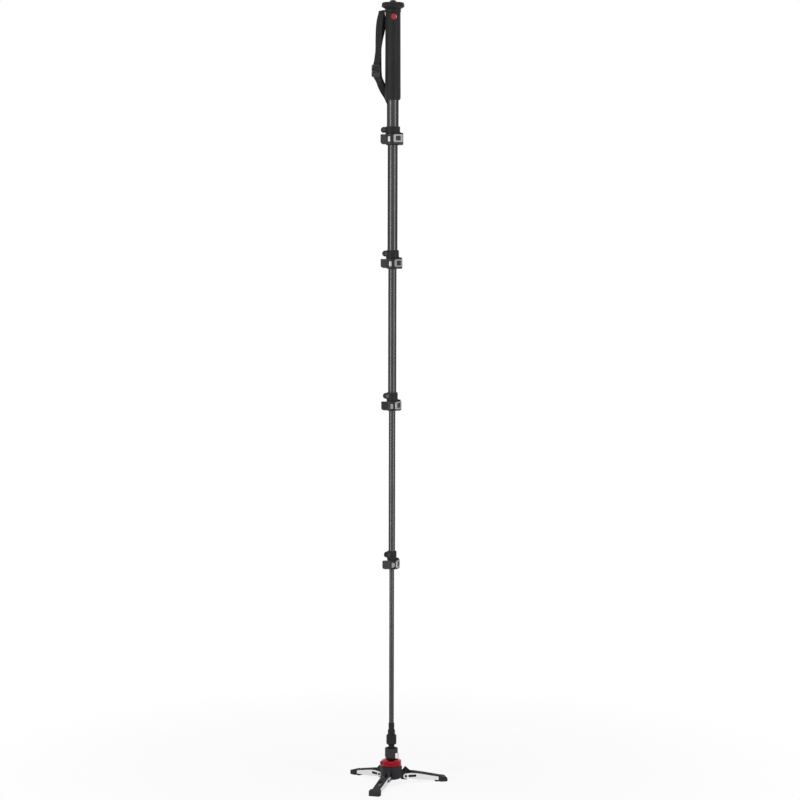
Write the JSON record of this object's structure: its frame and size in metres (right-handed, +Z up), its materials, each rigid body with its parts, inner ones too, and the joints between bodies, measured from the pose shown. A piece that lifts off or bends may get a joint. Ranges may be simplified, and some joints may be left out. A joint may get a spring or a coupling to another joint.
{
  "type": "camera monopod",
  "caption": "Telescopic camera monopod with flip-lock clamps, soft grip, wrist strap and a folding three-leg base on a tilting ball joint.",
  "frame": {"origin": "on the floor, under the column's axis, with the legs spread and every section drawn out", "axes": "+Z up the column, -Y towards the front, where the upper clamp's lever wraps, +X to the right"},
  "size_m": [0.2581, 0.2639, 2.0431],
  "materials": {
    "carbon": "clear-coated carbon fibre",
    "steel": "zinc plated",
    "black_metal": "black powder coat",
    "ball_metal": "black anodised",
    "black_plastic": "fine moulded texture",
    "inner_plastic": "natural acetal",
    "silver": "satin silver",
    "rubber": "matte rubber",
    "grip_foam": "soft-touch rubber",
    "red": "gloss red",
    "webbing": "woven webbing"
  },
  "bodies": {
    "base": {"leg_hub": "black_metal", "hub_cover": "black_plastic", "leg_pins": "steel"},
    "pan": {"pan_ring": "red", "pan_cartridge": "inner_plastic", "socket_cup": "black_metal"},
    "button": {"cup_button": "silver"},
    "tilt_carrier": {"ball_liner": "inner_plastic"},
    "column": {"ball_stem": "ball_metal", "column_block": "black_metal", "tube_end_fitting": "black_metal", "tube_5": "carbon", "guide_bush_5": "inner_plastic"},
    "section_4": {"tube_4": "carbon", "guide_bush_4": "inner_plastic", "clamp_4_collar": "black_metal", "clamp_4_shim": "inner_plastic", "clamp_4_hinge_pin": "steel", "clamp_4_pinch_bolt": "steel"},
    "section_3": {"tube_3": "carbon", "guide_bush_3": "inner_plastic", "clamp_3_collar": "black_metal", "clamp_3_shim": "inner_plastic", "clamp_3_hinge_pin": "steel", "clamp_3_pinch_bolt": "steel"},
    "section_2": {"tube_2": "carbon", "guide_bush_2": "inner_plastic", "clamp_2_collar": "black_metal", "clamp_2_shim": "inner_plastic", "clamp_2_hinge_pin": "steel", "clamp_2_pinch_bolt": "steel"},
    "upper": {"tube_1": "carbon", "clamp_1_collar": "black_metal", "clamp_1_shim": "inner_plastic", "clamp_1_hinge_pin": "steel", "clamp_1_pinch_bolt": "steel", "grip_sleeve": "grip_foam", "grip_badge": "red", "head_plug": "black_plastic", "strap_ring": "black_metal", "top_plate": "black_metal", "plate_pad": "rubber", "camera_screw": "steel", "wrist_strap": "webbing", "strap_buckle": "black_plastic"},
    "lever_1": {"clamp_1_lever": "black_plastic", "clamp_1_link": "silver"},
    "lever_2": {"clamp_2_lever": "black_plastic", "clamp_2_link": "silver"},
    "lever_3": {"clamp_3_lever": "black_plastic", "clamp_3_link": "silver"},
    "lever_4": {"clamp_4_lever": "black_plastic", "clamp_4_link": "silver"},
    "leg_front": {"leg_front_frame": "silver", "leg_front_rubber": "rubber"},
    "leg_right": {"leg_right_frame": "silver", "leg_right_rubber": "rubber"},
    "leg_left": {"leg_left_frame": "silver", "leg_left_rubber": "rubber"}
  },
  "joints": [
    {"name": "leg_front_fold", "type": "hinge", "parent": "base", "child": "leg_front", "pos_m": [-0.01113, -0.03529, 0.0186], "axis": [-0.9537, 0.3007, 0], "range_deg": [0, 84]},
    {"name": "leg_right_fold", "type": "hinge", "parent": "base", "child": "leg_right", "pos_m": [0.03612, 0.00801, 0.0186], "axis": [0.2164, -0.9763, 0], "range_deg": [0, 84]},
    {"name": "leg_left_fold", "type": "hinge", "parent": "base", "child": "leg_left", "pos_m": [-0.025, 0.02728, 0.0186], "axis": [0.7373, 0.6756, 0], "range_deg": [0, 84]},
    {"name": "pan_turn", "type": "hinge", "parent": "base", "child": "pan", "pos_m": [0, 0, 0.0474], "axis": [0, 0, 1], "continuous": true},
    {"name": "button_press", "type": "slide", "parent": "pan", "child": "button", "axis": [-0.8829, 0.4695, 0], "range_m": [0, 0.0016], "stiffness_N_per_m": 900},
    {"name": "tilt_front", "type": "hinge", "parent": "pan", "child": "tilt_carrier", "pos_m": [0, 0, 0.0812], "axis": [1, 0, 0], "range_deg": [-12, 12]},
    {"name": "tilt_side", "type": "hinge", "parent": "tilt_carrier", "child": "column", "pos_m": [0, 0, 0.0812], "axis": [0, 1, 0], "range_deg": [-12, 12]},
    {"name": "section_4_slide", "type": "slide", "parent": "column", "child": "section_4", "axis": [0, 0, -1], "range_m": [0, 0.405]},
    {"name": "section_3_slide", "type": "slide", "parent": "section_4", "child": "section_3", "axis": [0, 0, -1], "range_m": [0, 0.364]},
    {"name": "section_2_slide", "type": "slide", "parent": "section_3", "child": "section_2", "axis": [0, 0, -1], "range_m": [0, 0.31699]},
    {"name": "section_1_slide", "type": "slide", "parent": "section_2", "child": "upper", "axis": [0, 0, -1], "range_m": [0, 0.26599]},
    {"name": "clamp_1_open", "type": "hinge", "parent": "upper", "child": "lever_1", "pos_m": [0.02314, -0.00408, 1.67068], "axis": [0, 0, 1], "range_deg": [0, 110]},
    {"name": "clamp_2_open", "type": "hinge", "parent": "section_2", "child": "lever_2", "pos_m": [0.02129, 0.00074, 1.35369], "axis": [0, 0, 1], "range_deg": [0, 110]},
    {"name": "clamp_3_open", "type": "hinge", "parent": "section_3", "child": "lever_3", "pos_m": [0.01853, 0.00462, 0.9857], "axis": [0, 0, 1], "range_deg": [0, 110]},
    {"name": "clamp_4_open", "type": "hinge", "parent": "section_4", "child": "lever_4", "pos_m": [0.01499, 0.0078, 0.5707], "axis": [0, 0, 1], "range_deg": [0, 110]}
  ]
}
